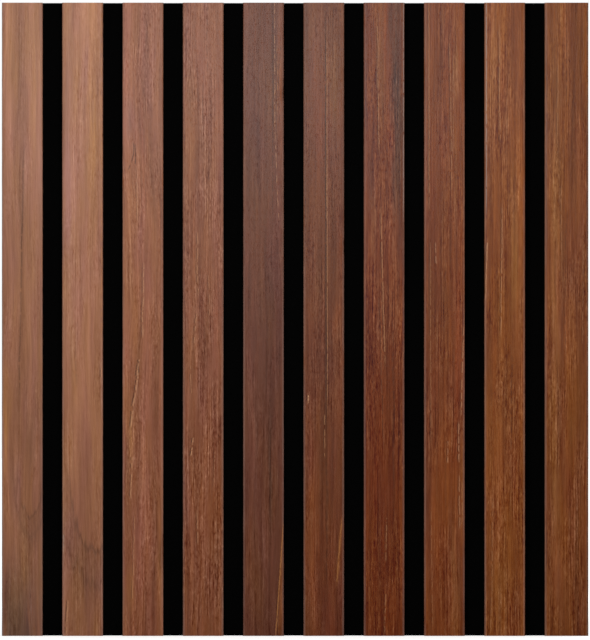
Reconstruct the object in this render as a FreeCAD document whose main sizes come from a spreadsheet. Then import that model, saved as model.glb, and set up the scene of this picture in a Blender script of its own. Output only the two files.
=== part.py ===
import FreeCAD, Part
import os
import Sketcher

# Acoustic slat wall panel. Upright slats of fibreboard, each wrapped in a folded leaf of wood veneer,
# stand side by side on a board of black felt, glued to it and stapled through it from behind.
#
# X runs across the panel, Y from the room (-Y) to the wall (+Y) and Z up. The origin is the middle of
# the back of the felt, which is the face that goes on the wall. Sizes are in millimetres.
SIZES = (
    ("slat_count", 10, "slats across the panel"),
    ("slat_width", 27, "width of a slat, veneer included"),
    ("end_slat_width", 29, "width of the last slat on the right, which is cut a little wider"),
    ("slat_gap", 13, "open groove between two slats"),
    ("slat_length", 420, "length of the slats, and height of the panel"),
    ("slat_thickness", 12, "how far the slats stand out of the felt"),
    ("veneer_thickness", 0.6, "the leaf of wood on the front and both sides of a slat"),
    ("core_edge_radius", 0.4, "rounding of the fibreboard's front edges, which the leaf is folded over"),
    ("felt_thickness", 9, "the felt board"),
    ("staple_rows", 3, "staples along each slat"),
    ("staple_end_margin", 60, "from the end of a slat to its first staple"),
    ("staple_crown", 12.8, "width of a staple over its two legs"),
    ("staple_leg", 16, "length of a staple's legs, crown included"),
    ("staple_tip", 1.2, "length of the slanted point of a leg"),
    ("staple_recess", 0.6, "how deep the crown is pressed into the back of the felt"),
    ("wire_thickness", 0.65, "the staple's wire, in the plane of its bends"),
    ("wire_width", 0.95, "the staple's wire, across that plane"),
    ("staple_clearance", 0.05, "room round a staple in its slot and holes"),
)

# Two places count as one when they are closer than this
NEAR = 1e-6

doc = FreeCAD.newDocument("slat_panel")
sheet = doc.addObject("Spreadsheet::Sheet", "sizes")
for row, (alias, value, meaning) in enumerate(SIZES, start=1):
    sheet.set(f"A{row}", meaning)
    sheet.set(f"B{row}", str(value))
    sheet.setAlias(f"B{row}", alias)
doc.recompute()

# Sizes that follow from those in the sheet, as expressions that the features below are bound to
PITCH = "(sizes.slat_width + sizes.slat_gap)"
SLAT_RUN = f"((sizes.slat_count - 1) * {PITCH})"
PANEL_WIDTH = f"({SLAT_RUN} + sizes.end_slat_width)"
PANEL_LEFT = f"(-{PANEL_WIDTH} / 2)"
STAPLE_X = "(sizes.slat_width / 2)"
STAPLE_RUN = "(sizes.slat_length - 2 * sizes.staple_end_margin)"
LEG_OUTSIDE = "(sizes.staple_crown / 2 + sizes.staple_clearance)"
LEG_INSIDE = "(sizes.staple_crown / 2 - sizes.wire_thickness - sizes.staple_clearance)"
HALF_SLOT = "(sizes.wire_width / 2 + sizes.staple_clearance)"
CROWN_DEPTH = "(sizes.staple_recess + sizes.wire_thickness)"
LEG_REACH = "(sizes.staple_recess + sizes.staple_leg + sizes.staple_clearance)"


def new_body(name):
    body = doc.addObject("PartDesign::Body", name)
    body.Label = name
    return body


def origin_feature(body, role):
    return next(feature for feature in body.Origin.OriginFeatures if feature.Role == role)


def new_sketch(body, name, plane):
    sketch = body.newObject("Sketcher::SketchObject", f"{body.Name}_{name}")
    sketch.AttachmentSupport = (origin_feature(body, plane), "")
    sketch.MapMode = "FlatFace"
    return sketch


def draw_outline(sketch, corners):
    """Draws a closed outline whose corners are held at pairs of expressions, across and up the sketch."""
    points = [FreeCAD.Vector(*(float(sheet.evalExpression(way)) for way in corner)) for corner in corners]
    first = sketch.GeometryCount
    last = first + len(points) - 1
    for start, end in zip(points, points[1:] + points[:1]):
        sketch.addGeometry(Part.LineSegment(start, end))
    for line in range(first, last + 1):
        following = first if line == last else line + 1
        sketch.addConstraint(Sketcher.Constraint("Coincident", line, 2, following, 1))
    for line, point, corner in zip(range(first, last + 1), points, corners):
        for kind, place, way in zip(("DistanceX", "DistanceY"), point, corner):
            held = sketch.addConstraint(Sketcher.Constraint(kind, -1, 1, line, 1, place))
            sketch.setExpression(f"Constraints[{held}]", way)


def rectangle(left, bottom, right, top):
    return ((left, bottom), (right, bottom), (right, top), (left, top))


def leg_holes(centre_x, centre_z):
    """Outlines of the two holes of a staple's legs, about the staple's middle."""
    bottom, top = f"{centre_z} - {HALF_SLOT}", f"{centre_z} + {HALF_SLOT}"
    return (
        rectangle(f"{centre_x} - {LEG_OUTSIDE}", bottom, f"{centre_x} - {LEG_INSIDE}", top),
        rectangle(f"{centre_x} + {LEG_INSIDE}", bottom, f"{centre_x} + {LEG_OUTSIDE}", top),
    )


def extrude(body, kind, sketch, length, symmetric=False):
    """Adds a pad or a pocket of that sketch. One that isn't symmetric goes towards the room."""
    feature = body.newObject(f"PartDesign::{kind}", f"{sketch.Name}_{kind.lower()}")
    feature.Profile = sketch
    feature.SideType = "Symmetric" if symmetric else "One side"
    feature.Reversed = kind == "Pocket"
    feature.setExpression("Length", length)
    sketch.Visibility = False
    doc.recompute()
    return feature


def round_edges(body, base, radius, edge_y):
    """Rounds the upright edges of the last feature that stand at the given expression's place in Y."""
    wanted_y = float(sheet.evalExpression(edge_y))
    names = []
    for number, edge in enumerate(base.Shape.Edges, start=1):
        start, end = (edge.Vertexes[at].Point for at in (0, -1))
        upright = abs(start.x - end.x) < NEAR and abs(start.y - end.y) < NEAR
        if upright and abs(start.y - wanted_y) < NEAR:
            names.append(f"Edge{number}")
    fillet = body.newObject("PartDesign::Fillet", f"{base.Name}_rounded")
    fillet.Base = (base, names)
    fillet.setExpression("Radius", radius)
    doc.recompute()
    return fillet


def repeat(body, features, across=False):
    """Repeats features, or the whole body if none is given, up the rows of staples and across the slats."""
    pattern = body.newObject("PartDesign::LinearPattern", f"{body.Name}_rows")
    pattern.TransformMode = "Features" if features else "Whole shape"
    pattern.Originals = features
    pattern.Direction = (origin_feature(body, "Z_Axis"), [""])
    pattern.setExpression("Length", STAPLE_RUN)
    pattern.setExpression("Occurrences", "sizes.staple_rows")
    if across:
        pattern.Direction2 = (origin_feature(body, "X_Axis"), [""])
        pattern.setExpression("Length2", SLAT_RUN)
        pattern.setExpression("Occurrences2", "sizes.slat_count")
    body.Tip = pattern
    doc.recompute()
    return pattern


def place(body, x="0", y="0", z="0"):
    for way, expression in zip("xyz", (x, y, z)):
        body.setExpression(f"Placement.Base.{way}", expression)


def felt_backing():
    """The felt board, slit from behind for the crown and the two legs of each staple."""
    body = new_body("felt_backing")
    board = new_sketch(body, "board", "XZ_Plane")
    half_height = "sizes.slat_length / 2"
    draw_outline(board, rectangle(PANEL_LEFT, f"-{half_height}", f"-{PANEL_LEFT}", half_height))
    extrude(body, "Pad", board, "sizes.felt_thickness")

    first_x = f"{PANEL_LEFT} + {STAPLE_X}"
    first_z = f"-{STAPLE_RUN} / 2"
    slot = new_sketch(body, "crown_slot", "XZ_Plane")
    left, right = f"{first_x} - {LEG_OUTSIDE}", f"{first_x} + {LEG_OUTSIDE}"
    draw_outline(slot, rectangle(left, f"{first_z} - {HALF_SLOT}", right, f"{first_z} + {HALF_SLOT}"))
    crown = extrude(body, "Pocket", slot, CROWN_DEPTH)

    holes = new_sketch(body, "leg_holes", "XZ_Plane")
    for outline in leg_holes(first_x, first_z):
        draw_outline(holes, outline)
    legs = extrude(body, "Pocket", holes, "sizes.felt_thickness")
    repeat(body, [crown, legs], across=True)
    return body


def slat_core(number, width):
    """The fibreboard of one slat, with its two front edges rounded and a pair of holes for each staple."""
    body = new_body(f"slat_core_{number:02d}")
    leaf = "sizes.veneer_thickness"
    front = f"-(sizes.slat_thickness - {leaf})"
    section = new_sketch(body, "section", "XY_Plane")
    draw_outline(section, rectangle(leaf, front, f"{width} - {leaf}", "0"))
    board = extrude(body, "Pad", section, "sizes.slat_length", symmetric=True)
    round_edges(body, board, "sizes.core_edge_radius", front)

    holes = new_sketch(body, "leg_holes", "XZ_Plane")
    for outline in leg_holes(STAPLE_X, f"-{STAPLE_RUN} / 2"):
        draw_outline(holes, outline)
    legs = extrude(body, "Pocket", holes, f"{LEG_REACH} - sizes.felt_thickness")
    repeat(body, [legs])
    return body


def slat_veneer(number, width):
    """The leaf of wood round one slat, folded over the two front edges of the fibreboard."""
    body = new_body(f"slat_veneer_{number:02d}")
    leaf = "sizes.veneer_thickness"
    face = "-sizes.slat_thickness"
    inside = f"-(sizes.slat_thickness - {leaf})"
    section = new_sketch(body, "section", "XY_Plane")
    outer = (("0", "0"), ("0", face), (width, face), (width, "0"))
    inner = ((f"{width} - {leaf}", "0"), (f"{width} - {leaf}", inside), (leaf, inside), (leaf, "0"))
    draw_outline(section, outer + inner)
    folded = extrude(body, "Pad", section, "sizes.slat_length", symmetric=True)
    folded = round_edges(body, folded, f"sizes.core_edge_radius + {leaf}", face)
    round_edges(body, folded, "sizes.core_edge_radius", inside)
    return body


def back_staples():
    """The staples, each bent from flat wire with slanted points, sunk into the back of the felt."""
    body = new_body("back_staples")
    body.AllowCompound = True
    out = "sizes.staple_crown / 2"
    into = f"({out} - sizes.wire_thickness)"
    under = "-sizes.wire_thickness"
    point = "-sizes.staple_leg"
    heel = "-(sizes.staple_leg - sizes.staple_tip)"
    section = new_sketch(body, "section", "XY_Plane")
    right_leg = ((out, "0"), (out, point), (into, heel), (into, under))
    left_leg = tuple((f"-{across}", up) for across, up in reversed(right_leg))
    draw_outline(section, right_leg + left_leg)
    wire = extrude(body, "Pad", section, "sizes.wire_width", symmetric=True)
    round_edges(body, wire, "sizes.wire_thickness", "0")
    repeat(body, [], across=True)
    place(body, f"{PANEL_LEFT} + {STAPLE_X}", "-sizes.staple_recess", f"-{STAPLE_RUN} / 2")
    return body


slat_count = int(sheet.get("slat_count"))
bodies = [felt_backing()]
for number in range(1, slat_count + 1):
    width = "sizes.end_slat_width" if number == slat_count else "sizes.slat_width"
    for slat_piece in (slat_core(number, width), slat_veneer(number, width)):
        place(slat_piece, f"{PANEL_LEFT} + {number - 1} * {PITCH}", "-sizes.felt_thickness")
        bodies.append(slat_piece)
bodies.append(back_staples())
doc.recompute()

for item in doc.Objects:
    if "Invalid" in item.State or "Error" in item.State:
        raise RuntimeError(f"{item.Label} failed: {item.State}")
for body in bodies:
    if body.Shape.isNull() or not body.Shape.isValid():
        raise RuntimeError(f"{body.Label} has no valid shape")

os.makedirs("parts", exist_ok=True)
for body in bodies:
    body.Shape.exportStep(f"parts/{body.Label}.step")
    print(body.Label, len(body.Shape.Solids), round(body.Shape.Volume, 3))
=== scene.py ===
import math
from collections import namedtuple

import bpy
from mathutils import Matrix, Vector


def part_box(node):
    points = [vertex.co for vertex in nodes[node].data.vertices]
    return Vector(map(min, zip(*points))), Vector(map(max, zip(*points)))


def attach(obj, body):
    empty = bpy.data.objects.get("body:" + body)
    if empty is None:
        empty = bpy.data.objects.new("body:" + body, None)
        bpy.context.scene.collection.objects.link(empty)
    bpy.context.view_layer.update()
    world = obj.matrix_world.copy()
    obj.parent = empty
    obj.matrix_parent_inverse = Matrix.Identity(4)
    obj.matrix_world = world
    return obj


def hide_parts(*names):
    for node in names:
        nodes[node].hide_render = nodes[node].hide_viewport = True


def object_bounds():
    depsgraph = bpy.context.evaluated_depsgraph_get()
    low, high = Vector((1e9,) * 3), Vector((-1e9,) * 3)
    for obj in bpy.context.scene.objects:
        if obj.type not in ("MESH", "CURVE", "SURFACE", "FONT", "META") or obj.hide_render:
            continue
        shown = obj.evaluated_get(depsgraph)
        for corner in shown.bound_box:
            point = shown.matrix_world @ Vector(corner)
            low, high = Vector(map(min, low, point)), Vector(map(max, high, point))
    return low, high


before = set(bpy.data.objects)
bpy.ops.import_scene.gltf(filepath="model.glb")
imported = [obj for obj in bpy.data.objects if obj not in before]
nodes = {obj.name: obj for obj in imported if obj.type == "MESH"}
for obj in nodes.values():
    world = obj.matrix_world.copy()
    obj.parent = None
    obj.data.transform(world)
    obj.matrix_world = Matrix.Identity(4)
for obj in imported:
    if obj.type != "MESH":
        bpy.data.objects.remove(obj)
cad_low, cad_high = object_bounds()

# Felt backing
# A board of black polyester felt, needled and pressed, that carries the slats and soaks up sound.
# It swells a little in the grooves between the slats, and each staple pulls a dimple into its back.
# Its front face, seen only down the grooves, is painted near black as painted shade of the deep grooves,
# while the wall side and the cut edges show the felt's own grey.
MILLIMETRE = 0.001
FELT_SPACING = 2.0
FELT_LAYERS = 4
FACE_SHARE = 0.45
GROOVE_SWELL = 0.4
GROOVE_SHOULDER = 3.0
EDGE_SOFTNESS = 0.7
EDGE_REACH = 1.6
STAPLE_ROWS = 3
STAPLE_END_MARGIN = 60.0
STAPLE_CROWN = 12.8
DIMPLE_DEPTH = 1.0
DIMPLE_REACH_ALONG = 4.0
DIMPLE_REACH_ACROSS = 3.5
DIMPLE_FLOOR = 0.15
BACK_UNEVENNESS = 0.3
BACK_WAVES = 0.05
felt_low, felt_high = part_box("felt_backing")
felt_size = (felt_high - felt_low) / MILLIMETRE
felt_face = felt_low.y / MILLIMETRE
first_low, first_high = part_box("slat_veneer_01")
second_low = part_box("slat_veneer_02")[0]
slat_pitch = (second_low.x - first_low.x) / MILLIMETRE
groove_width = (second_low.x - first_high.x) / MILLIMETRE
first_groove = (second_low.x + first_high.x) / 2 / MILLIMETRE
first_staple = (first_low.x + first_high.x) / 2 / MILLIMETRE
staple_row_gap = (felt_size.z - 2 * STAPLE_END_MARGIN) / (STAPLE_ROWS - 1)


def feed(socket, value):
    """Wires a value into a socket, or sets the socket where the value is a plain one."""
    if isinstance(value, Signal):
        value = value.socket
    if isinstance(value, bpy.types.NodeSocket):
        socket.id_data.links.new(value, socket)
    else:
        socket.default_value = value


class Signal:
    """A number on its way through a node tree, so that sums on it read as sums."""

    def __init__(self, socket):
        self.socket = socket
        self.tree = socket.id_data

    def through(self, operation, *others):
        node = self.tree.nodes.new("ShaderNodeMath")
        node.operation = operation
        for socket, value in zip(node.inputs, (self, *others)):
            feed(socket, value)
        return Signal(node.outputs[0])

    def __add__(self, other):
        return self.through("ADD", other)

    def __sub__(self, other):
        return self.through("SUBTRACT", other)

    def __mul__(self, other):
        return self.through("MULTIPLY", other)

    def __truediv__(self, other):
        return self.through("DIVIDE", other)

    def size(self):
        return self.through("ABSOLUTE")

    def rise(self, low, high):
        """Goes smoothly from 0 at low to 1 at high, and the other way round where low is the larger."""
        node = self.tree.nodes.new("ShaderNodeMapRange")
        node.interpolation_type = "SMOOTHSTEP"
        for name, value in (("Value", self), ("From Min", low), ("From Max", high)):
            feed(node.inputs[name], value)
        return Signal(node.outputs["Result"])

    def from_nearest(self, first, apart):
        """How far it is from the nearest of many marks that stand as far apart as said."""
        turns = (self - first) / apart
        return (turns - turns.through("ROUND")) * apart


def add_node(tree, kind, settings=(), **inputs):
    """Adds a node, with its settings and the values of its inputs, which are named in lower case."""
    node = tree.nodes.new(kind)
    for name, value in dict(settings).items():
        setattr(node, name, value)
    for name, value in inputs.items():
        feed(node.inputs[name.replace("_", " ").title()], value)
    return node


def vector(tree, x, y, z):
    return add_node(tree, "ShaderNodeCombineXYZ", x=x, y=y, z=z).outputs[0]


def split(tree, place):
    return [Signal(socket) for socket in add_node(tree, "ShaderNodeSeparateXYZ", vector=place).outputs]


def graded(tree, spot, fineness):
    """A place to read noise at, with its own number of grains to the millimetre along x, y and z."""
    return vector(tree, *(part * grains for part, grains in zip(spot, fineness)))


NOISE_MIDDLE = 0.5
NOISE_GAIN = 11.0


def noise(tree, place, detail=2.0, roughness=0.5, distortion=0.0):
    """Noise about zero, mostly between -2 and 2, with grains one unit across."""
    texture = add_node(tree, "ShaderNodeTexNoise", vector=place, scale=1.0, detail=detail,
                       roughness=roughness, distortion=distortion)
    return (Signal(texture.outputs[0]) - NOISE_MIDDLE) * NOISE_GAIN


def new_tree(kind, name, inputs, outputs):
    """Starts a node tree with named inputs and outputs, and gives the tree, its inputs and its way out."""
    tree = bpy.data.node_groups.new(name, kind)
    for way, sockets in (("INPUT", inputs), ("OUTPUT", outputs)):
        for socket, sort in sockets.items():
            tree.interface.new_socket(name=socket, in_out=way, socket_type=f"NodeSocket{sort}")
    incoming = tree.nodes.new("NodeGroupInput")
    outgoing = tree.nodes.new("NodeGroupOutput")
    given = {socket: incoming.outputs[socket] for socket in inputs}
    return tree, given, outgoing


def step(tree, kind, shape, settings=(), **inputs):
    """Puts a shape through one node of a geometry tree."""
    node = add_node(tree, kind, settings, **inputs)
    tree.links.new(shape, node.inputs[0])
    return node.outputs[0]


SHARP_ANGLE = math.radians(35)


def finish_shape(tree, shape, outgoing, material):
    """Smooths the shape but for its sharp edges, turns millimetres into metres and gives it its material."""
    shape = step(tree, "GeometryNodeSetShadeSmooth", shape, {"domain": "FACE"}, shade_smooth=True)
    angle = Signal(tree.nodes.new("GeometryNodeInputMeshEdgeAngle").outputs[0])
    shape = step(tree, "GeometryNodeSetShadeSmooth", shape, {"domain": "EDGE"}, shade_smooth=False,
                 selection=angle.through("GREATER_THAN", SHARP_ANGLE))
    shape = step(tree, "GeometryNodeTransform", shape, scale=[MILLIMETRE] * 3)
    shape = step(tree, "GeometryNodeRealizeInstances", shape)
    feed(outgoing.inputs[0], step(tree, "GeometryNodeSetMaterial", shape, material=material))


def make_piece(name, tree, slot, replaced, start=None, **sizes):
    """Runs a geometry tree, keeps the result as a plain mesh and hides the part it stands in for. Its slot
    is not used.
    """
    piece = bpy.data.objects.new(name, start or bpy.data.meshes.new(name))
    bpy.context.scene.collection.objects.link(piece)
    modifier = piece.modifiers.new("shape", "NODES")
    modifier.node_group = tree
    for item in tree.interface.items_tree:
        size = item.name.lower().replace(" ", "_")
        if item.in_out == "INPUT" and size in sizes:
            modifier[item.identifier] = sizes[size]
    mesh = bpy.data.meshes.new_from_object(piece.evaluated_get(bpy.context.evaluated_depsgraph_get()))
    piece.modifiers.remove(modifier)
    piece.data = mesh
    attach(piece, "root")
    if replaced:
        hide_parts(replaced)
    return piece


def felt_board_tree():
    """A block of many small faces, swollen in the grooves, and softened, dimpled and waved at its back."""
    sizes = ("Width", "Thickness", "Height", "Swell", "Dimple", "Unevenness")
    tree, given, outgoing = new_tree(
        "GeometryNodeTree", "felt_board",
        {"Columns": "Int", "Rows": "Int", **dict.fromkeys(sizes, "Float"), "Material": "Material"},
        {"Geometry": "Geometry"})
    width, thickness, height, swell, dimple, unevenness = (Signal(given[name]) for name in sizes)
    block = add_node(tree, "GeometryNodeMeshCube", size=vector(tree, width, thickness, height),
                     vertices_x=given["Columns"], vertices_y=FELT_LAYERS,
                     vertices_z=given["Rows"]).outputs[0]
    x, y, z = split(tree, tree.nodes.new("GeometryNodeInputPosition").outputs[0])
    back = y.rise(thickness * FACE_SHARE, thickness * 0.5)
    front = y.rise(thickness * -FACE_SHARE, thickness * -0.5)
    to_edge = (width * 0.5 - x.size()).through("MINIMUM", height * 0.5 - z.size())
    softness = to_edge.rise(EDGE_REACH, 0.0) * EDGE_SOFTNESS
    half_groove = groove_width / 2
    from_groove = x.from_nearest(first_groove, slat_pitch).size()
    swelling = from_groove.rise(half_groove, half_groove - GROOVE_SHOULDER)
    from_staple = x.from_nearest(first_staple, slat_pitch).size()
    past_crown = (from_staple - STAPLE_CROWN / 2).through("MAXIMUM", 0.0)
    along = (past_crown / DIMPLE_REACH_ALONG).through("POWER", 2.0)
    beside = (z.from_nearest(0.0, staple_row_gap).size() / DIMPLE_REACH_ACROSS).through("POWER", 2.0)
    dent = (along + beside).through("SQRT").rise(1.0, DIMPLE_FLOOR) * dimple
    ripple = noise(tree, vector(tree, x * BACK_WAVES, 0.0, z * BACK_WAVES), detail=3.0, roughness=0.6)
    waves = ripple.rise(-2.5, 2.5) * unevenness
    sunk = back * (softness + dent + waves)
    raised = front * (swelling * swell - softness)
    formed = step(tree, "GeometryNodeSetPosition", block, position=vector(tree, x, y - sunk - raised, z))
    behind_face = vector(tree, 0.0, thickness * -0.5, 0.0)
    seated = step(tree, "GeometryNodeTransform", formed, translation=behind_face)
    finish_shape(tree, seated, outgoing, given["Material"])
    return tree


def mix_colour(tree, amount, first, second, way="MIX"):
    """Mixes two colours. The node's colour sockets have no names of their own, so they go by number."""
    node = tree.nodes.new("ShaderNodeMix")
    node.data_type = "RGBA"
    node.blend_type = way
    for socket, value in zip((node.inputs[0], node.inputs[6], node.inputs[7]), (amount, first, second)):
        feed(socket, value)
    return node.outputs[2]


def new_material(name):
    """Starts a material and gives its tree, its shader and the place on the piece in millimetres."""
    material = bpy.data.materials.new(name)
    material.use_nodes = True
    tree = material.node_tree
    shader = tree.nodes["Principled BSDF"]
    metres = tree.nodes.new("ShaderNodeTexCoord").outputs["Object"]
    place = add_node(tree, "ShaderNodeMapping", vector=metres, scale=[1 / MILLIMETRE] * 3).outputs[0]
    return material, tree, shader, place


def add_bump(tree, shader, height, depth):
    """Gives a shader relief, as deep as the given size in millimetres."""
    bump = add_node(tree, "ShaderNodeBump", height=height, distance=depth * MILLIMETRE)
    feed(shader.inputs["Normal"], bump.outputs[0])


# Near black for the felt's front face: painted shade for the grooves between the slats.
GROOVE_PAINTED_SHADE = (0.0012, 0.0012, 0.0012, 1)
FELT_SHADOW = (0.005, 0.005, 0.0055, 1)
FELT_GREY = (0.06, 0.06, 0.063, 1)
FELT_GLOSS = 0.02
FELT_RELIEF = 0.05
UPRIGHT_FIBRES = (0.7, 0.7, 0.16)
LEVEL_FIBRES = (0.16, 0.7, 0.7)
FELT_CLOUDS = (0.04, 0.04, 0.04)
CLOUD_SHARE = 0.12
GROOVE_SHADE_START = 0.1
GROOVE_SHADE_END = 1.0


def felt_material():
    material, tree, shader, place = new_material("black_felt")
    spot = split(tree, place)
    upright = noise(tree, graded(tree, spot, UPRIGHT_FIBRES), detail=4.0, roughness=0.7, distortion=1.5)
    level = noise(tree, graded(tree, spot, LEVEL_FIBRES), detail=4.0, roughness=0.7, distortion=1.5)
    clouds = noise(tree, graded(tree, spot, FELT_CLOUDS))
    fibres = upright.through("MAXIMUM", level)
    grey = mix_colour(tree, (fibres + clouds * CLOUD_SHARE).rise(-0.4, 2.8), FELT_SHADOW, FELT_GREY)
    # The front face is painted near black as painted shade down the grooves; behind it the felt's own grey
    # shows.
    clear_of_groove_shade = spot[1].rise(felt_face + GROOVE_SHADE_START, felt_face + GROOVE_SHADE_END)
    feed(shader.inputs["Base Color"], mix_colour(tree, clear_of_groove_shade, GROOVE_PAINTED_SHADE, grey))
    shader.inputs["Roughness"].default_value = 1.0
    shader.inputs["Specular IOR Level"].default_value = FELT_GLOSS
    add_bump(tree, shader, fibres, FELT_RELIEF)
    return material


felt_board = make_piece("felt_board", felt_board_tree(), "acoustic_felt", "felt_backing",
                        columns=round(felt_size.x / FELT_SPACING), rows=round(felt_size.z / FELT_SPACING),
                        width=felt_size.x, thickness=felt_size.y, height=felt_size.z, swell=GROOVE_SWELL,
                        dimple=DIMPLE_DEPTH, unevenness=BACK_UNEVENNESS, material=felt_material())

# Loose felt fibres
# Polyester fibres that the needles left standing in short loops on the wall side of the felt.
# They are part of the board: both ends of a loop are rooted in it, and the loops lie every way.
FIBRES_EACH_SQUARE_METRE = 24000.0
FIBRE_LENGTH = 5.0
FIBRE_LIFT = 0.7
FIBRE_RADIUS = 0.05
FIBRE_ROOT = 0.1
FIBRE_BOW = 0.4
FIBRE_SKEW = 0.1
FIBRE_BENDS = 5
FIBRE_SIDES = 3
SHORTEST_FIBRE = 0.5
LONGEST_FIBRE = 1.5
FIBRE_SEED = 7
FACING_BACK = 0.5


def loose_fibres_tree():
    """Bent fibres of many lengths, strewn over the back of the felt but clear of its edges."""
    tree, given, outgoing = new_tree(
        "GeometryNodeTree", "loose_fibres",
        {"Felt": "Geometry", "Density": "Float", "Length": "Float", "Lift": "Float", "Radius": "Float",
         "Seed": "Int", "Material": "Material"},
        {"Geometry": "Geometry"})
    felt = step(tree, "GeometryNodeTransform", given["Felt"], scale=[1 / MILLIMETRE] * 3)
    facing = split(tree, tree.nodes.new("GeometryNodeInputNormal").outputs[0])[1]
    x, y, z = split(tree, tree.nodes.new("GeometryNodeInputPosition").outputs[0])
    inward = x.size().through("LESS_THAN", felt_size.x / 2 - FIBRE_LENGTH)
    inward = inward * z.size().through("LESS_THAN", felt_size.z / 2 - FIBRE_LENGTH)
    spread = add_node(tree, "GeometryNodeDistributePointsOnFaces", mesh=felt, density=given["Density"],
                      seed=given["Seed"], selection=facing.through("GREATER_THAN", FACING_BACK) * inward)
    length, lift = Signal(given["Length"]), Signal(given["Lift"])
    loop = add_node(tree, "GeometryNodeCurveQuadraticBezier", resolution=FIBRE_BENDS,
                    start=vector(tree, length * -0.5, 0.0, -FIBRE_ROOT),
                    middle=vector(tree, 0.0, length * FIBRE_BOW, lift * 2.0),
                    end=vector(tree, length * 0.5, length * -FIBRE_SKEW, -FIBRE_ROOT)).outputs[0]
    section = add_node(tree, "GeometryNodeCurvePrimitiveCircle", resolution=FIBRE_SIDES,
                       radius=given["Radius"]).outputs[0]
    fibre = step(tree, "GeometryNodeCurveToMesh", loop, profile_curve=section, fill_caps=True)
    spin = add_node(tree, "FunctionNodeRandomValue", {"data_type": "FLOAT_VECTOR"}, seed=given["Seed"])
    spin.inputs[1].default_value = (0.0, 0.0, math.tau)
    reach = add_node(tree, "FunctionNodeRandomValue", {"data_type": "FLOAT"}, seed=given["Seed"])
    reach.inputs[2].default_value = SHORTEST_FIBRE
    reach.inputs[3].default_value = LONGEST_FIBRE
    placed = step(tree, "GeometryNodeInstanceOnPoints", spread.outputs["Points"], instance=fibre,
                  rotation=spread.outputs["Rotation"], scale=reach.outputs[1])
    turned = step(tree, "GeometryNodeRotateInstances", placed, rotation=spin.outputs[0])
    finish_shape(tree, turned, outgoing, given["Material"])
    return tree


FIBRE_GREY = (0.13, 0.13, 0.135, 1)
FIBRE_SHADES = (0.2, 0.2, 0.2)
FIBRE_ROUGHNESS = 0.6
FIBRE_GLOSS = 0.2


def fibre_material():
    material, tree, shader, place = new_material("loose_polyester")
    shade = noise(tree, graded(tree, split(tree, place), FIBRE_SHADES), detail=1.0).rise(-2.0, 2.0)
    feed(shader.inputs["Base Color"], mix_colour(tree, shade, FELT_SHADOW, FIBRE_GREY))
    shader.inputs["Roughness"].default_value = FIBRE_ROUGHNESS
    shader.inputs["Specular IOR Level"].default_value = FIBRE_GLOSS
    return material


make_piece("loose_felt_fibres", loose_fibres_tree(), "acoustic_felt", None, start=felt_board.data.copy(),
           density=FIBRES_EACH_SQUARE_METRE * MILLIMETRE ** 2, length=FIBRE_LENGTH, lift=FIBRE_LIFT,
           radius=FIBRE_RADIUS, seed=FIBRE_SEED, material=fibre_material())

# Slat cores
# Sawn strips of medium-density fibreboard, glued and stapled to the felt. Only their ends show, raw and tan,
# with the dense skin of the board at front and back and fine marks of the saw.
BOARD_BROWN = (0.2, 0.12, 0.065, 1)
BOARD_TAN = (0.56, 0.4, 0.25, 1)
BOARD_ROUGHNESS = 0.85
BOARD_GLOSS = 0.25
BOARD_RELIEF = 0.02
BOARD_SPECKS = (2.4, 4.0, 2.4)
BOARD_CLUMPS = (0.5, 0.9, 0.5)
SAW_MARKS = (3.0, 0.15, 0.02)
SAW_SLANT = 0.4
SKIN_START = 3.0
SKIN_FULL = 5.6
SPECK_SHARE = 0.8
CLUMP_SHARE = 0.4
SAW_SHARE = 0.3
SKIN_SHARE = 1.2
core_names = sorted(name for name in nodes if name.startswith("slat_core"))
core_low, core_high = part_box(core_names[0])
core_middle = (core_low.y + core_high.y) / 2 / MILLIMETRE


def fibreboard_material():
    material, tree, shader, place = new_material("sawn_fibreboard")
    spot = split(tree, place)
    x, y, z = spot
    specks = noise(tree, graded(tree, spot, BOARD_SPECKS), detail=4.0, roughness=0.75)
    clumps = noise(tree, graded(tree, spot, BOARD_CLUMPS))
    across, deep, up = SAW_MARKS
    saw = noise(tree, vector(tree, x * across + y * SAW_SLANT, y * deep, z * up))
    skin = (y - core_middle).size().rise(SKIN_START, SKIN_FULL)
    light = specks * SPECK_SHARE + clumps * CLUMP_SHARE + saw * SAW_SHARE - skin * SKIN_SHARE
    feed(shader.inputs["Base Color"], mix_colour(tree, light.rise(-3.0, 3.0), BOARD_BROWN, BOARD_TAN))
    shader.inputs["Roughness"].default_value = BOARD_ROUGHNESS
    shader.inputs["Specular IOR Level"].default_value = BOARD_GLOSS
    add_bump(tree, shader, specks + saw, BOARD_RELIEF)
    return material


def dress(node, material):
    """Gives a solid of the frame its material."""
    mesh = nodes[node].data
    mesh.materials.clear()
    mesh.materials.append(material)


sawn_fibreboard = fibreboard_material()
for name in core_names:
    dress(name, sawn_fibreboard)

# Slat veneers
# A leaf of dark brown wood, cut along the grain, folded and glued over the front and both sides of each core
# and oiled to a satin. Each leaf has its own tone, figure and splits, and is painted darker and redder
# towards its foot as painted shade. Handling has rubbed the front edges and knocked a chip out of a few, and
# a pale painted highlight runs along the front edges where the rounded edges catch the light.
LEAF_THICKNESS = 0.6
EDGE_ROUNDING = 1.0
EDGE_STEPS = 7
LEAF_COLUMN_SPACING = 1.2
LEAF_ROWS = 141
FOLD_CORNERS = 4
WELD_GAP = 0.001
EDGE_RUB = 0.12
RUB_UNEVENNESS = 0.08
SIDES_APART = 9.0
NIBBLES = 0.35
EDGE_FLAT = 2.6
EDGE_CREST = 0.5
OUTER_SKIN = 0.4
INNER_SKIN = 0.5
veneer_names = sorted(name for name in nodes if name.startswith("slat_veneer"))
front_face = cad_low.y / MILLIMETRE
foot_end = cad_low.z / MILLIMETRE
top_end = cad_high.z / MILLIMETRE
panel_length = top_end - foot_end
slat_depth = felt_face - front_face


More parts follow.
